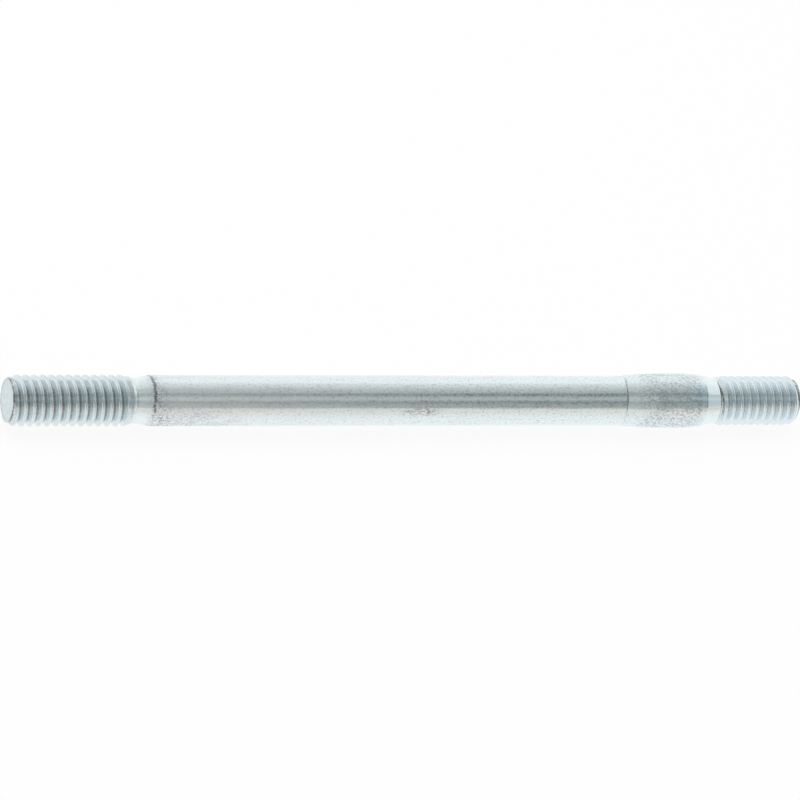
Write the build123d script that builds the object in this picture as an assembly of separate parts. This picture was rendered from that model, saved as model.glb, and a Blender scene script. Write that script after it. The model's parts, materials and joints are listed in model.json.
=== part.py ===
"""M6 stud bolt, formed from one round bar, with a rolled right-hand thread on each end.

The short thread screws into a casting until the swelled collar beside it stops against the mouth
of the tapped hole. The long thread takes the nut. Millimetres, with the axis along X: the origin
is on the axis at the collar's stop, the short thread is on the +X side and the long one on the -X
side.
"""

from build123d import *
import math
import os

# Bar
overall_length = 96.35
shank_diameter = 5.78

# Rolled thread, ISO metric M6 x 1, the same on both ends
pitch = 1.0
crest_diameter = 5.80
root_diameter = 4.78
root_land = 0.17  # width of the flat at the bottom of the groove
flank_angle = 30.0  # between each flank and a plane square to the axis
climb_angle = 40.0  # at which the groove's inner end climbs out of the bar
crest_fall = 0.90  # axial length over which the crest drops to the neck
cutter_clearance = 0.30  # by which the groove's cutter stands out of the bar

# Long end: chamfered face, thread, neck left between thread and shank, taper up to the shank
long_end_diameter = 5.00
long_chamfer = 0.75
long_thread_length = 13.60
long_groove_angle = 87.0  # of the groove's climb, about the axis from +Y towards +Z
long_groove_overrun = 0.15  # by which the groove runs level past the full crest
long_neck_diameter = 5.10
long_neck_length = 0.30
long_neck_taper = 1.80

# Collar, swelled out of the bar, from its lip on the shank to the slope that stops on the casting
collar_lip_diameter = 5.98
collar_taper = 4.00
collar_diameter = 6.33
collar_land = 4.20
collar_back_taper = 1.90
collar_stop_diameter = 6.05
collar_stop_slope = 1.50

# Short end: neck, thread, chamfered face
short_neck_diameter = 5.30
short_neck_length = 0.40
short_thread_length = 9.35
short_groove_angle = 170.0  # of the groove's climb, about the axis from +Y towards +Z
short_groove_overrun = 0.70  # by which the groove runs level past the full crest
short_chamfer = 0.75
short_end_diameter = 4.95

# Places of the two end faces on the axis, the collar's stop being at x = 0
short_end = collar_stop_slope + short_neck_length + crest_fall + short_thread_length
long_end = short_end - overall_length


def bar():
    """The bar with all its diameters but no groove, as one outline turned about the axis."""
    long_crest_end = long_end + long_thread_length
    long_neck_start = long_crest_end + crest_fall
    long_neck_end = long_neck_start + long_neck_length
    shank_start = long_neck_end + long_neck_taper
    land_end = -collar_back_taper
    land_start = land_end - collar_land
    collar_lip = land_start - collar_taper
    short_crest_start = short_end - short_thread_length

    # x and diameter at each corner of the outline
    corners = [
        (long_end, long_end_diameter),
        (long_end + long_chamfer, crest_diameter),
        (long_crest_end, crest_diameter),
        (long_neck_start, long_neck_diameter),
        (long_neck_end, long_neck_diameter),
        (shank_start, shank_diameter),
        (collar_lip, shank_diameter),
        (collar_lip, collar_lip_diameter),
        (land_start, collar_diameter),
        (land_end, collar_diameter),
        (0, collar_stop_diameter),
        (collar_stop_slope, short_neck_diameter),
        (short_crest_start - crest_fall, short_neck_diameter),
        (short_crest_start, crest_diameter),
        (short_end - short_chamfer, crest_diameter),
        (short_end, short_end_diameter),
    ]
    points = [(long_end, 0)] + [(x, diameter / 2) for x, diameter in corners] + [(short_end, 0)]
    outline = Polyline(*points, close=True)
    return revolve(make_face(outline), Axis.X)


def groove_cutters(level_length):
    """The thread's groove as cutters about the Z axis, with the bar's end face at z = 0.

    One cutter for each turn, from outside the end face to the end of the level groove, and a last
    one that climbs out of the bar from there on a widening helix.
    """
    root_radius = root_diameter / 2
    section_height = crest_diameter / 2 - root_radius + cutter_clearance
    half_root = root_land / 2
    half_mouth = half_root + section_height * math.tan(math.radians(flank_angle))
    outline = [(0, -half_root), (section_height, -half_mouth), (section_height, half_mouth), (0, half_root)]
    section = Plane((root_radius, 0, 0), x_dir=(1, 0, 0), z_dir=(0, 1, 0)) * Polygon(*outline, align=None)

    level_turn = sweep(section, path=Helix(pitch, pitch, root_radius), is_frenet=True)
    climb_length = section_height / math.tan(math.radians(climb_angle))
    climb_path = Helix(pitch, climb_length, root_radius, cone_angle=climb_angle)
    climb = sweep(section, path=climb_path, is_frenet=True)

    turns = math.ceil(level_length / pitch) + 1
    level_turns = [Pos(0, 0, level_length - turn * pitch) * level_turn for turn in range(turns, 0, -1)]
    return level_turns + [Pos(0, 0, level_length) * climb]


def end_plane(x, inwards, groove_angle):
    """The plane of the end face at x, with Z into the bar and X towards the groove's climb."""
    angle = math.radians(groove_angle)
    return Plane((x, 0, 0), x_dir=(0, math.cos(angle), math.sin(angle)), z_dir=(inwards, 0, 0))


def stud():
    """The bar with both grooves cut, each from its own end face inwards."""
    long_face = end_plane(long_end, 1, long_groove_angle)
    long_level = long_thread_length + long_groove_overrun
    short_face = end_plane(short_end, -1, short_groove_angle)
    short_level = short_thread_length + short_groove_overrun
    result = bar()
    for face, level_length in ((long_face, long_level), (short_face, short_level)):
        for cutter in groove_cutters(level_length):
            result -= face * cutter
    return result


os.makedirs("parts", exist_ok=True)
export_step(stud(), "parts/stud.step")
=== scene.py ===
"""Visual model of a zinc plated M6 stud bolt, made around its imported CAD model.

Blender 4.5, in metres, with the bolt's axis along X: the long thread is on the -X side, the short
thread on the +X side, and the origin is at the edge of the collar that stops on the casting.
"""

import json
import math

import bpy
import numpy as np
from mathutils import Matrix, Vector


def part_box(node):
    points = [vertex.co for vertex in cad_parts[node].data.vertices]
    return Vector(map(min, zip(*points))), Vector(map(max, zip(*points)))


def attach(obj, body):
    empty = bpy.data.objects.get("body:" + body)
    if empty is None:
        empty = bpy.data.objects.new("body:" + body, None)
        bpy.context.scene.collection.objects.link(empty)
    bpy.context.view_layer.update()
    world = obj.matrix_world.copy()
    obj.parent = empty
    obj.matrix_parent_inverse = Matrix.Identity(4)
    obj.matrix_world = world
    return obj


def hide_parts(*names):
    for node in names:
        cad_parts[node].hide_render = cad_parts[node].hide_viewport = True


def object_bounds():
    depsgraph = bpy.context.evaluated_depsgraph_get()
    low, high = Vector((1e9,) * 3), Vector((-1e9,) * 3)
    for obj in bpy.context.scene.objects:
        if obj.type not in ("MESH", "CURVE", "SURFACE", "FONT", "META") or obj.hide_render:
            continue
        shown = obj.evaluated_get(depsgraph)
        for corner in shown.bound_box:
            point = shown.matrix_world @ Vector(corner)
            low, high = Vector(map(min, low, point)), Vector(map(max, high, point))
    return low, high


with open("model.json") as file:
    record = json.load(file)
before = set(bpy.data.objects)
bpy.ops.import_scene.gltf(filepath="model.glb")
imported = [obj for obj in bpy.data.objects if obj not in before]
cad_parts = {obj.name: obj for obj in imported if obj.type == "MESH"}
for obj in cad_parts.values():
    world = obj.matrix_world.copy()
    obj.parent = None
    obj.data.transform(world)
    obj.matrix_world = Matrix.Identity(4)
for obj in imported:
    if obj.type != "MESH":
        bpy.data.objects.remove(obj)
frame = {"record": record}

cad_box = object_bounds()

# ---- Stud ---------------------------------------------------------------------------------------
# The whole piece: one drawn bar of carbon steel, swelled to the collar, with a thread rolled on
# each end, then bright zinc plated. It is held by its short thread, which screws into a casting.

MM = 0.001

# Places along the axis, in millimetres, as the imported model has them
stud_low, stud_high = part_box("stud")
long_end = stud_low[0] / MM
short_end = stud_high[0] / MM
collar_radius = stud_high[2] / MM
mounts = {mount["name"]: mount for mount in frame["record"]["mounts"]}
thread_radius = mounts["long_thread"]["dims"]["r_mm"]
shank_radius = mounts["shank"]["dims"]["r_mm"]
shank_middle = mounts["shank"]["pos_m"][0] / MM
shank_start = shank_middle - mounts["shank"]["dims"]["length_mm"] / 2
shank_stop = shank_middle + mounts["shank"]["dims"]["length_mm"] / 2
long_crest_end = long_end + mounts["long_thread"]["dims"]["length_mm"]
short_crest_start = short_end - mounts["short_thread"]["dims"]["length_mm"]

# Thread: ISO metric, 1 mm pitch, with its crests and its roots rounded by the rolling dies
pitch = 1.0
root_radius = 2.39
root_rounding = 0.10
crest_rounding = np.array([
    (long_crest_end - 0.9, 0.20), (long_crest_end - 0.2, 0.05), (shank_start, 0.05),
    (short_crest_start, 0.05), (short_crest_start + 0.7, 0.20),
])
flank_rise = math.tan(math.radians(60.0))
climb_rise = math.tan(math.radians(40.0))

# Where each groove stops being level: place along the axis and part of a turn from +Y towards +Z
long_climb, long_climb_turn = long_crest_end + 0.15, 87 / 360
short_climb, short_climb_turn = short_crest_start - 0.70, 170 / 360

# Outline of the bar without its grooves: place along the axis and radius
chamfer_length = 0.75
neck_radius = 2.55
lip_step = 0.05
collar_start, collar_stop = -6.10, -1.90
outline = np.array([
    (long_end, 2.50),
    (long_end + chamfer_length, thread_radius),
    (long_crest_end, thread_radius),
    (long_crest_end + 0.90, neck_radius),
    (shank_start - 1.80, neck_radius),
    (shank_start, shank_radius),
    (shank_stop - 0.16, shank_radius),
    (shank_stop - 0.06, shank_radius - lip_step),
    (shank_stop, shank_radius - lip_step),
    (shank_stop + 0.03, 2.99),
    (collar_start, collar_radius),
    (collar_stop, collar_radius),
    (0, 3.02),
    (1.90, 2.60),
    (short_crest_start, thread_radius),
    (short_end - chamfer_length, thread_radius),
    (short_end, 2.475),
])

# How far each corner of the outline is rounded to either side: place and half width
rounding = np.array([
    (long_end, 0.03), (long_end + 0.30, 0.05), (long_crest_end - 0.5, 0.06),
    (long_crest_end, 0.15), (long_crest_end + 0.9, 0.20), (shank_start - 1.4, 0.30),
    (shank_start, 0.25), (shank_start + 1.0, 0.10), (shank_stop - 0.3, 0.02),
    (shank_stop + 0.1, 0.03), (shank_stop + 1.0, 0.40), (-1.0, 0.40), (-0.3, 0.10),
    (0.5, 0.12), (1.6, 0.10), (short_crest_start, 0.15), (short_end - chamfer_length, 0.15),
    (short_end, 0.03),
])

# Rows of the mesh: length of each stretch of the bar and the spacing of the rows on it
stretches = (
    (long_end + 0.03, long_end + 0.12, 0.02),
    (long_end + 0.12, long_crest_end + 1.00, 0.037),
    (long_crest_end + 1.00, shank_start - 0.70, 0.07),
    (shank_start - 0.70, shank_start + 0.80, 0.045),
    (shank_start + 0.80, shank_start + 4.0, 0.15),
    (shank_start + 4.0, shank_stop - 1.0, 0.50),
    (shank_stop - 1.0, shank_stop - 0.20, 0.10),
    (shank_stop - 0.20, shank_stop + 0.20, 0.015),
    (shank_stop + 0.20, collar_start - 0.5, 0.15),
    (collar_start - 0.5, collar_start + 0.5, 0.10),
    (collar_start + 0.5, collar_stop - 0.4, 0.15),
    (collar_stop - 0.4, collar_stop + 0.4, 0.08),
    (collar_stop + 0.4, short_crest_start - 1.30, 0.07),
    (short_crest_start - 1.30, short_end - 0.12, 0.037),
    (short_end - 0.12, short_end - 0.03, 0.02),
)
columns = 96

# Marks that forming leaves on the skin: a rough ring where the shank starts, a slight unevenness
# of shank and collar, and a lip that stands askew. At lip_turn it is in its place, and on the
# other side of the bar it is twice lip_slant nearer the short thread.
ring_depth, ring_roughness, ring_half_width = 0.032, 0.022, 0.16
unevenness = 0.006
lip_slant, lip_turn = 0.45, 0.42

# Where round the bar the painted shade in the thread roots and each mark of wear is strongest, as
# part of a turn from +Y towards +Z
root_shade_turn, rubbed_turn, scratched_turn = 0.43, 0.57, 0.465
lip_edge_turn, ring_edge_turn = 0.36, 0.33


def evenly(start, stop, spacing):
    """Places from start up to but not including stop, at about the given spacing."""
    return np.linspace(start, stop, max(2, round((stop - start) / spacing)), endpoint=False)


def random_field(along, turn, cell_length, cells_round, seed):
    """Smooth random heights from -1 to 1 over the bar's skin. Random values at the corners of a
    grid, which closes on itself round the bar, are blended by the cubic 3t^2 - 2t^3."""
    u = (along - long_end) / cell_length + 2.0
    v = turn * cells_round
    values = np.random.default_rng(seed).uniform(-1, 1, (int(u.max()) + 4, cells_round))
    row = np.floor(u).astype(int)
    column = np.floor(v).astype(int)
    s = (u - row) ** 2 * (3 - 2 * (u - row))
    t = (v - column) ** 2 * (3 - 2 * (v - column))
    first, second = column % cells_round, (column + 1) % cells_round
    near = values[row, first] * (1 - t) + values[row, second] * t
    far = values[row + 1, first] * (1 - t) + values[row + 1, second] * t
    return near * (1 - s) + far * s


def bump_between(along, start, rise, fall, stop):
    """A weight that goes from 0 at start to 1 at rise, and from 1 at fall back to 0 at stop."""
    return np.clip(np.minimum((along - start) / (rise - start), (stop - along) / (stop - fall)),
                   0, 1)


def bar_radius(along):
    """Radius of the bar without its grooves: the outline's straight runs, averaged over a window
    as wide as the rounding there, which turns each corner into a short parabola."""
    half_width = np.interp(along, rounding[:, 0], rounding[:, 1])
    window = np.linspace(-1, 1, 15)[:, None, None]
    places = along + window * half_width
    return np.interp(places, outline[:, 0], outline[:, 1]).mean(axis=0)


def groove_radius(depth_in, turn_in):
    """Radius of a rolled groove's surface, given how far in from the groove's climb a point is
    (positive towards the shank) and its part of a turn from where the climb starts. Each turn of
    the groove has straight flanks that meet in a hyperbola, and past the start of the climb its
    bottom rises out of the bar. The lowest of the three nearest turns counts."""
    nearest = np.round(depth_in / pitch - turn_in)
    surface = np.full(depth_in.shape, np.inf)
    for step in (-1, 0, 1):
        centre = (nearest + step + turn_in) * pitch
        bottom = root_radius + climb_rise * np.maximum(centre, 0)
        flank = flank_rise * (np.hypot(depth_in - centre, root_rounding) - root_rounding)
        surface = np.minimum(surface, bottom + flank)
    return surface


def soft_minimum(first, second, width):
    """The lower of two surfaces, with a parabola of the given width where they cross."""
    overlap = np.maximum(width - np.abs(first - second), 0)
    return np.minimum(first, second) - overlap ** 2 / (4 * width)


def ring_place(along, turn):
    """Place along the axis of the rough ring, which wanders by about a tenth of a millimetre."""
    return shank_start - 0.10 + 0.12 * random_field(along * 0, turn, 1.0, 26, 5)


def stud_radius(along, turn):
    """Radius of the finished skin at a place along the axis and a part of a turn from +Y
    towards +Z: bar and grooves, then the marks that rolling and upsetting leave."""
    bar = bar_radius(along)
    long_groove = groove_radius(along - long_climb, (turn - long_climb_turn) % 1)
    short_groove = groove_radius(short_climb - along, (short_climb_turn - turn) % 1)
    groove = np.where(along < shank_middle, long_groove, short_groove)
    softness = np.interp(along, crest_rounding[:, 0], crest_rounding[:, 1])
    radius = soft_minimum(bar, groove, softness)

    ragged = random_field(along, turn, 0.22, 90, 3) + 0.6 * random_field(along, turn, 0.5, 40, 4)
    ring = np.exp(-((along - ring_place(along, turn)) / ring_half_width) ** 2)
    radius = radius - ring * (ring_depth + ring_roughness * ragged)
    plain = bump_between(along, shank_start - 1.0, shank_start + 0.5, -0.8, -0.1)
    radius = radius - plain * unevenness * (1 + random_field(along, turn, 2.5, 14, 6))
    return radius


def stud_rows():
    """Places of the mesh's rows along the axis, and the share of the bar's radius that each has:
    the share is 1 on the skin and falls to 0 at the middle of both end faces. The flat of each
    face is sunk by a hair within a raised rim, where the dies have pushed the metal outwards."""
    face = np.array([(0.20, 0.035), (0.45, 0.035), (0.70, 0.035), (0.85, 0.035), (0.875, 0.04),
                     (0.90, 0.07), (0.925, 0.04), (0.94, 0.008), (0.955, 0.0), (0.97, 0.0),
                     (0.985, 0.0)])
    skin = np.concatenate([evenly(*stretch) for stretch in stretches])
    skin = np.append(skin, short_end - 0.03)
    along = np.concatenate([long_end + face[:, 1], skin, short_end - face[::-1, 1]])
    share = np.concatenate([face[:, 0], np.ones(len(skin)), face[::-1, 0]])
    return along, share


def skin_marks(along, turns, radius, share):
    """Weights over the skin that tell the plating where it is threaded, grooved, rubbed, scratched
    or dark at an edge, and where shade is painted: in the thread roots, on the rims of the end
    faces and along the short run-out. Each is a product of ramps along the axis and of cosines or
    bell curves round it."""
    on_skin = share[:, None] == 1

    def facing(turn):
        """1 at the given part of a turn, going down by a cosine to -1 on the other side."""
        return np.cos(2 * np.pi * (turns - turn))

    threaded = on_skin * np.where(along < shank_middle, along < long_crest_end + 0.6,
                                  along > short_crest_start - 0.6)
    groove = threaded * np.clip((thread_radius - radius) / (thread_radius - root_radius), 0, 1)
    # Painted shade in the thread roots, strongest on one side of the bar
    stained = groove * np.clip(2.2 * facing(root_shade_turn) - 0.7, 0.5, 1)
    neck = (bump_between(along, long_crest_end + 0.8, long_crest_end + 1.2, shank_start - 1.2,
                         shank_start - 0.2)
            + bump_between(along, -0.1, 0.1, 1.6, 2.2))

    # Rubbed: the start of the shank, its underside beyond that, and the collar
    underside = np.clip(2.2 * facing(rubbed_turn) - 1.2, 0, 1)
    scuff = (
        bump_between(along, shank_start - 0.9, shank_start - 0.2, shank_start + 0.2,
                     shank_start + 2.6)
        + underside * bump_between(along, shank_start, shank_start + 1, shank_start + 5,
                                   shank_start + 16)
        + bump_between(along, shank_stop + 0.8, shank_stop + 2.6, -0.9, -0.1))
    scratched = (np.clip(50 * facing(scratched_turn) - 49, 0, 1)
                 * bump_between(along, -38.4, -37.4, -34.5, -33.2))

    # Dark edges: the lip's step, the rims of both ends and the rough ring, and painted shade on the
    # raised rims of the end faces and along the short run-out
    lip = 0.4 + 0.75 * np.exp(-((turns - lip_edge_turn) / 0.11) ** 2)
    burr = on_skin * lip * np.exp(-((along - shank_stop) / 0.07) ** 2)
    burr = burr + on_skin * (
        1.2 * bump_between(along, long_end, long_end + 0.04, long_end + 0.10, long_end + 0.20)
        + 0.6 * bump_between(along, long_end + 0.1, long_end + 0.2, long_end + 0.4, long_end + 0.7)
        + 0.9 * bump_between(along, short_end - 0.45, short_end - 0.25, short_end, short_end + 1))
    worn = 0.62 + 0.38 * facing(ring_edge_turn)
    burr = burr + 1.3 * worn ** 2 * np.exp(-((along - ring_place(along, turns)) / 0.24) ** 2)
    # Painted shade on the raised rim of each end face
    burr = burr + np.where(on_skin, 0, 0.6 * np.clip((share[:, None] - 0.90) / 0.03, 0, 1))
    # Painted shade: dark lines along the edges of the short run-out's groove
    cut = np.clip((bar_radius(along) - radius) / 0.16, 0, 1)
    burr = burr + 6 * cut * (1 - cut) * bump_between(along, 1.4, 1.6, 2.3, 2.6)

    face = np.broadcast_to(1.0 - on_skin, along.shape)
    return {"thread": threaded * 1.0, "groove": groove, "stained": stained, "neck": neck,
            "face": face, "scuff": scuff, "scratched": scratched, "burr": burr}


def stud_mesh():
    """The skin as one closed grid round the axis: y and z are the radius times the cosine and
    sine of the turn, and one point closes each end face. Near the lip, x is moved along by one
    minus the cosine of the turn."""
    rows, share = stud_rows()
    turn = np.arange(columns) / columns
    along = np.repeat(rows[:, None], columns, axis=1)
    turns = np.repeat(turn[None, :], len(rows), axis=0)
    radius = stud_radius(along, turns) * share[:, None]
    askew = bump_between(along, shank_stop - 3, shank_stop - 0.5, shank_stop + 0.5, shank_stop + 3)
    skewed = along + lip_slant * askew * (1 - np.cos(2 * np.pi * (turns - lip_turn)))
    points = np.stack([skewed, radius * np.cos(2 * np.pi * turns),
                       radius * np.sin(2 * np.pi * turns)], axis=-1).reshape(-1, 3)
    points = np.vstack([points, (rows[0], 0, 0), (rows[-1], 0, 0)]) * MM

    here = np.arange(len(rows) * columns).reshape(len(rows), columns)
    beside = np.roll(here, -1, axis=1)
    quads = np.stack([beside[:-1], beside[1:], here[1:], here[:-1]], axis=-1).reshape(-1, 4)
    first_pole, last_pole = len(points) - 2, len(points) - 1
    fan = np.stack([beside[0], here[0], np.full(columns, first_pole)], axis=-1)
    last_fan = np.stack([here[-1], beside[-1], np.full(columns, last_pole)], axis=-1)

    mesh = bpy.data.meshes.new("stud_skin")
    mesh.from_pydata(points.tolist(), [], quads.tolist() + fan.tolist() + last_fan.tolist())
    mesh.shade_smooth()
    for name, values in skin_marks(along, turns, radius, share).items():
        values = np.append(values.ravel(), values.ravel()[[0, -1]])
        mesh.attributes.new(name, "FLOAT", "POINT").data.foreach_set("value", values)
    return mesh


class Signal:
    """One output of a shader node. Plus, minus, times and over add a Math node."""

    def __init__(self, tree, socket):
        self.tree = tree
        self.socket = socket

    @classmethod
    def node(cls, tree, kind, settings=None, inputs=None, output=0):
        """Add a node of any kind: its settings first, then its sockets' values or links."""
        added = tree.nodes.new(kind)
        for name, value in (settings or {}).items():
            if name == "stops":
                ramp = added.color_ramp
                while len(ramp.elements) < len(value):
                    ramp.elements.new(0.5)
                for element, (place, colour) in zip(ramp.elements, value):
                    element.position = place
                    element.color = (*colour, 1) if len(colour) == 3 else colour
            else:
                setattr(added, name, value)
        for name, value in (inputs or {}).items():
            if isinstance(value, Signal):
                tree.links.new(value.socket, added.inputs[name])
            else:
                added.inputs[name].default_value = value
        return cls(tree, added.outputs[output] if added.outputs else None)

    def math(self, operation, *others):
        """A Math node on this signal and up to two more signals or numbers."""
        values = dict(enumerate((self, *others)))
        return Signal.node(self.tree, "ShaderNodeMath", {"operation": operation}, values)

    def part(self, axis):
        """One part of this vector: 0 for X, 1 for Y and 2 for Z."""
        return Signal.node(self.tree, "ShaderNodeSeparateXYZ", None, {0: self}, axis)

    def limited(self, low, high):
        """This signal taken from low..high to 0..1, and held between them."""
        return Signal.node(self.tree, "ShaderNodeMapRange", {"interpolation_type": "SMOOTHSTEP"},
                           {"Value": self, "From Min": low, "From Max": high})

    def __add__(self, other):
        return self.math("ADD", other)

    def __sub__(self, other):
        return self.math("SUBTRACT", other)

    def __mul__(self, other):
        return self.math("MULTIPLY", other)

    def __truediv__(self, other):
        return self.math("DIVIDE", other)

    def __rsub__(self, other):
        return (self * -1.0).math("ADD", other)

    __radd__ = __add__
    __rmul__ = __mul__


def blend_colours(tree, share, first, second):
    """Go from the first colour to the second by a share from 0 to 1."""
    def as_input(value):
        return value if isinstance(value, Signal) else (*value, 1)
    return Signal.node(tree, "ShaderNodeMix", {"data_type": "RGBA"},
                       {0: share, 6: as_input(first), 7: as_input(second)}, 2)


def zinc_plate():
    """Bright zinc on rolled steel: pale blue-grey metal with drawing lines along the bar, a fine
    crystalline grain, dull rubbed patches, small dark specks, and painted shade, tinted brown, in
    the thread roots and at some dark edges."""
    material = bpy.data.materials.new("zinc_plated_steel")
    material.use_nodes = True
    tree = material.node_tree
    tree.nodes.clear()
    place = Signal.node(tree, "ShaderNodeTexCoord", output="Object")

    def noise(cells_per_mm, detail, roughness=0.5, offset=0.0):
        """Noise with the given number of cells a millimetre along X, Y and Z."""
        scaled = Signal.node(tree, "ShaderNodeMapping", None, {
            "Vector": place, "Location": (offset, offset, offset),
            "Scale": tuple(cells / MM for cells in cells_per_mm)})
        return Signal.node(tree, "ShaderNodeTexNoise", None, {
            "Vector": scaled, "Scale": 1.0, "Detail": detail, "Roughness": roughness})

    def attribute(name):
        return Signal.node(tree, "ShaderNodeAttribute", {"attribute_name": name}, None, "Fac")

    thread, groove, stained, neck, face, scuff, scratched, burr = (
        attribute(name) for name in ("thread", "groove", "stained", "neck", "face", "scuff",
                                     "scratched", "burr"))
    drawn = noise((0.18, 4.5, 4.5), 3.0, 0.6)
    grain = noise((3.2, 4.2, 4.2), 2.5, 0.7, 11.0)
    mottle = noise((1.1, 1.6, 1.6), 3.0, 0.6, 23.0)
    drift = noise((0.15, 0.6, 0.6), 2.0, 0.5, 37.0)
    speck = noise((3.0, 4.5, 4.5), 1.5, 0.5, 51.0).limited(0.68, 0.76)
    clot = noise((3.3, 3.9, 3.9), 3.0, 0.7, 67.0)
    patch = noise((0.5, 0.8, 0.8), 2.0, 0.5, 83.0)
    scratch = noise((2.0, 5.0, 5.0), 2.0, 0.6, 97.0)

    # Clean metal: the drawn bar, the rolled threads, the necks and the end faces
    along = place.part(0) / MM
    towards_long_end = 1 - (along + drift * 30).limited(-60, 0)
    bar = blend_colours(tree, towards_long_end, (0.80, 0.905, 0.93), (0.80, 0.868, 0.895))
    rolled = blend_colours(tree, towards_long_end, (0.737, 0.85, 0.91), (0.68, 0.78, 0.82))
    colour = blend_colours(tree, thread * 0.8, bar, rolled)
    colour = blend_colours(tree, neck * 0.8, colour, (0.825, 0.945, 0.965))
    colour = blend_colours(tree, face * 0.8, colour, (0.59, 0.70, 0.73))

    # Texture of the plating: pale clouds, drawing lines, pits of the grain and dark specks
    smooth = 1 - neck * 0.7 - thread * 0.5
    colour = blend_colours(tree, mottle.limited(0.4, 0.65) * 0.3, colour, (0.90, 0.93, 0.93))
    colour = blend_colours(tree, (1 - drawn.limited(0.32, 0.48)) * 0.25, colour,
                           (0.56, 0.61, 0.62))
    colour = blend_colours(tree, (1 - grain.limited(0.28, 0.52)) * smooth * 0.65, colour,
                           (0.48, 0.53, 0.54))
    colour = blend_colours(tree, speck * 0.5, colour, (0.36, 0.37, 0.40))

    # Wear and dirt: scratches, rubbed patches and dark edges; painted shade in the thread roots,
    # tinted brown, and on the face rims and the short run-out
    colour = blend_colours(tree, scratched * scratch.limited(0.48, 0.56) * 0.8, colour,
                           (0.22, 0.23, 0.26))
    dull = clot.limited(0.44, 0.60) * (patch + scuff * 0.3 - 0.15).limited(0.35, 0.65) * scuff
    colour = blend_colours(tree, dull * 0.57, colour, (0.34, 0.36, 0.41))
    # Painted shade in the thread roots, tinted brown, patchy
    painted_root_shade = groove.limited(0.80, 0.98) * stained * (towards_long_end * 0.6 + 0.4)
    painted_root_shade = painted_root_shade * clot.limited(0.2, 0.5)
    colour = blend_colours(tree, painted_root_shade * 0.75, colour, (0.26, 0.23, 0.21))
    # Dark edges, partly real and partly painted shade on the face rims and the run-out
    edge_and_shade_share = (burr * (clot * 1.6 - 0.1)).limited(0.25, 0.95)
    colour = blend_colours(tree, edge_and_shade_share * 0.85, colour, (0.17, 0.165, 0.17))

    roughness = 0.15 + grain.limited(0.3, 0.7) * 0.07 + dull * 0.15 + groove * 0.08 + face * 0.1
    height = drawn * 0.5 + grain * 0.35 + clot * scuff * 0.8
    bump = Signal.node(tree, "ShaderNodeBump", None, {
        "Strength": 0.6, "Distance": 0.012 * MM, "Height": height})
    shader = Signal.node(tree, "ShaderNodeBsdfPrincipled", None, {
        "Base Color": colour, "Metallic": 1.0, "Roughness": roughness, "Normal": bump})
    Signal.node(tree, "ShaderNodeOutputMaterial", None, {"Surface": shader})
    return material


stud = bpy.data.objects.new("stud_bolt", stud_mesh())
bpy.context.scene.collection.objects.link(stud)
stud.data.materials.append(zinc_plate())
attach(stud, "root")
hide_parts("stud")

# ---- Floor --------------------------------------------------------------------------------------
# A sheet of white card under the bolt, which touches the collar. It is white to the eye and keeps
# the bolt's soft shadow. In the metal it shows a painted pool of light, brightest beside the bolt
# and a little warmer and dimmer further towards the camera.

floor_half, floor_level = 1.2, cad_box[0].z
floor_corners = [(x * floor_half, y * floor_half, floor_level)
                 for x, y in ((-1, -1), (1, -1), (1, 1), (-1, 1))]
floor_mesh = bpy.data.meshes.new("floor")
floor_mesh.from_pydata(floor_corners, [], [(0, 1, 2, 3)])
floor = bpy.data.objects.new("floor", floor_mesh)
bpy.context.scene.collection.objects.link(floor)
card = bpy.data.materials.new("white_card")
card.use_nodes = True
card.node_tree.nodes.clear()
tree = card.node_tree
camera_ray = Signal.node(tree, "ShaderNodeLightPath", output="Is Camera Ray")
glossy_ray = Signal.node(tree, "ShaderNodeLightPath", output="Is Glossy Ray")
clear_ray = Signal.node(tree, "ShaderNodeLightPath", output="Is Transmission Ray")
lit = Signal.node(tree, "ShaderNodeBsdfDiffuse", None, {"Color": (0.88, 0.88, 0.88, 1)})
floor_place = Signal.node(tree, "ShaderNodeTexCoord", output="Object")
along, away = floor_place.part(0) / MM, floor_place.part(1) / -MM
# 0 up to 3.5 mm on the camera's side, then one minus e to the minus sixth of the distance
beyond = 1 - ((3.5 - away) / 6.0).math("EXPONENT").math("MINIMUM", 1.0)
past_short_end = along.limited(6, 22)
# Painted light: how much dimmer the floor glows to glossy rays, more towards the camera and past
# the short end
painted_dimming = 0.09 + (along * -1).limited(-10, 50) * 0.065 + past_short_end * 0.12
level = 1 - glossy_ray * beyond * painted_dimming
# Painted warm tint of the floor's glow, as the metal sees it
painted_warm_tint = blend_colours(tree, past_short_end, (1.0, 0.91, 0.845), (1.0, 0.86, 0.775))
white = blend_colours(tree, glossy_ray * beyond * beyond, (1, 1, 1), painted_warm_tint)
white = Signal.node(tree, "ShaderNodeEmission", None, {"Color": white, "Strength": level})
share = (camera_ray + clear_ray).math("MINIMUM", 1.0) * 0.92 + glossy_ray
shown = Signal.node(tree, "ShaderNodeMixShader", None, {0: share, 1: lit, 2: white})
Signal.node(tree, "ShaderNodeOutputMaterial", None, {"Surface": shown})
floor.data.materials.append(card)

# ---- Light --------------------------------------------------------------------------------------
# A soft box above and a tent of white cloth round the back. The side of the camera is open to a
# dim room, which the metal shows as its grey band.

world = bpy.data.worlds.new("studio")
bpy.context.scene.world = world
world.use_nodes = True
tree = world.node_tree
tree.nodes.clear()
towards = Signal.node(tree, "ShaderNodeTexCoord", output="Generated")
side, depth, up = (towards.part(axis) for axis in range(3))
around = up.math("ARCTAN2", depth * -1.0) / (2 * math.pi) + 0.5


def tent_stops(levels):
    """Ramp stops from angles in degrees round the bolt's axis, 0 being level on the camera's side
    and 90 straight up, and the brightness at each."""
    return [((angle + 180) / 360, (level, level, level)) for angle, level in levels]


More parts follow.
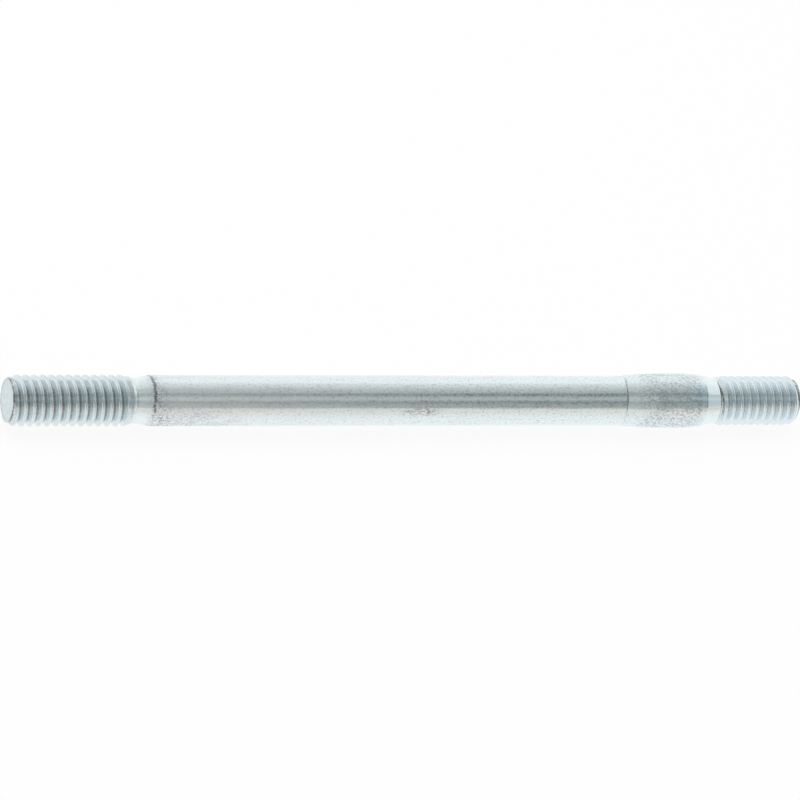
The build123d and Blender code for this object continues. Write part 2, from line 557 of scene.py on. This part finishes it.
# The cloth's brightness round the bolt, and a dim gap in it behind
tent = Signal.node(tree, "ShaderNodeValToRGB", {"stops": tent_stops((
    (-180, 1.0), (-8, 1.0), (0.5, 0.93), (4, 0.57), (10, 0.55), (20, 0.55), (25, 0.47), (31, 0.455),
    (35, 0.47), (40, 0.60), (46, 0.64), (53, 0.60), (61, 0.47), (67, 0.42), (71, 0.47), (75, 0.60),
    (81, 0.62), (87, 0.64), (96, 0.70), (106, 0.79), (112, 0.83), (121, 0.87), (128, 0.98),
    (132, 1.0), (180, 1.0)))}, {"Fac": around})
gap = Signal.node(tree, "ShaderNodeValToRGB", {"stops": tent_stops((
    (112, 0.0), (132, 0.14), (150, 0.20), (163, 0.16), (170, 0.18), (178, 0.0)))}, {"Fac": around})
gap = gap * side.limited(-0.40, -0.25) * (1 - side.limited(0.04, 0.16))


def shade_from(*depths):
    """How much deeper than the tent's own level the dim room is seen to each side, from -1 towards
    the long thread to 1 towards the short thread."""
    stops = [((place + 1) / 2, (depth / 2,) * 3) for place, depth in depths]
    return Signal.node(tree, "ShaderNodeValToRGB", {"stops": stops}, {"Fac": side / 2 + 0.5}) * 2


# The room is seen through the tent's opening low on the camera's side, and differently higher up
low_shade = shade_from((-1, 1.3), (-0.5, 1.4), (-0.25, 1.0), (0.0, 1.05), (0.15, 1.05),
                       (0.25, 0.90), (0.34, 0.95), (0.37, 1.45), (0.39, 1.73), (0.416, 1.74),
                       (0.43, 1.15), (0.50, 0.9), (0.53, 1.36), (0.575, 1.4), (0.60, 1.7),
                       (0.66, 1.8), (0.70, 0.68), (0.82, 0.68), (0.87, 1.1), (1, 1.1))
high_shade = shade_from((-1, 1.3), (-0.5, 1.4), (-0.25, 1.1), (0.0, 1.2), (0.15, 1.2),
                        (0.25, 1.10), (0.34, 1.20), (0.37, 1.34), (0.416, 1.42), (0.43, 1.15),
                        (0.50, 0.9), (0.53, 1.3), (0.575, 1.35), (0.60, 1.7), (0.66, 1.7),
                        (0.70, 0.2), (0.82, 0.2), (0.87, 1.0), (1, 1.0))
shade = blend_colours(tree, around.limited(245 / 360, 268 / 360), low_shade, high_shade)
level = ((1 - (1 - tent) * shade) * (1 - gap)).math("MAXIMUM", 0.0)

# What is dim is tinted too, by how far to the side it lies, and what is bright is white
dim_tints = ((0.46, (0.98, 1.0, 0.97)), (0.53, (0.74, 0.94, 1.0)), (0.61, (0.74, 0.94, 1.0)),
             (0.66, (0.94, 1.0, 0.98)), (0.71, (0.94, 1.0, 0.98)), (0.76, (0.87, 0.97, 1.0)))
dim = Signal.node(tree, "ShaderNodeValToRGB",
                  {"stops": [((place + 1) / 2, tint) for place, tint in dim_tints]},
                  {"Fac": side / 2 + 0.5})
seen = blend_colours(tree, level.limited(0.6, 0.95), dim, (1, 1, 1))
camera_ray = Signal.node(tree, "ShaderNodeLightPath", output="Is Camera Ray")
sky = blend_colours(tree, camera_ray, seen, (1, 1, 1))
strength = level.math("MAXIMUM", camera_ray)
background = Signal.node(tree, "ShaderNodeBackground", None, {"Color": sky, "Strength": strength})
Signal.node(tree, "ShaderNodeOutputWorld", None, {"Surface": background})

lamp_data = bpy.data.lights.new("soft_box", "AREA")
lamp_data.shape = "SQUARE"
lamp_data.size = 0.35
lamp_data.energy = 0.95
lamp = bpy.data.objects.new("soft_box", lamp_data)
lamp.location = (-0.06, 0.10, 0.42)
bolt_middle = Vector((-0.0373, 0, 0))
lamp.rotation_euler = (bolt_middle - lamp.location).to_track_quat("-Z", "Y").to_euler()
lamp.visible_glossy = False
bpy.context.scene.collection.objects.link(lamp)

# ---- Camera -------------------------------------------------------------------------------------
# Looks down on the bolt from beside its long thread, with the axis level across the frame.

camera_data = bpy.data.cameras.new("camera")
camera_data.lens = 239.7
camera_data.sensor_width = 36.0
camera_data.shift_y = 0.0007
camera_data.clip_start = 0.01
camera_data.clip_end = 20.0
camera = bpy.data.objects.new("camera", camera_data)
bpy.context.scene.collection.objects.link(camera)
slant, elevation, distance = math.radians(21.3), math.radians(36.0), 0.6087
forward = Vector((math.sin(slant),
                  math.sqrt(math.cos(elevation) ** 2 - math.sin(slant) ** 2),
                  -math.sin(elevation)))
axis = Vector((1, 0, 0))
right = (axis - forward * axis.dot(forward)).normalized()
upward = right.cross(forward)
turned = Matrix((right, upward, -forward)).transposed().to_4x4()
camera.matrix_world = Matrix.Translation(bolt_middle - forward * distance) @ turned
bpy.context.scene.camera = camera

bpy.context.scene.view_settings.view_transform = "Standard"
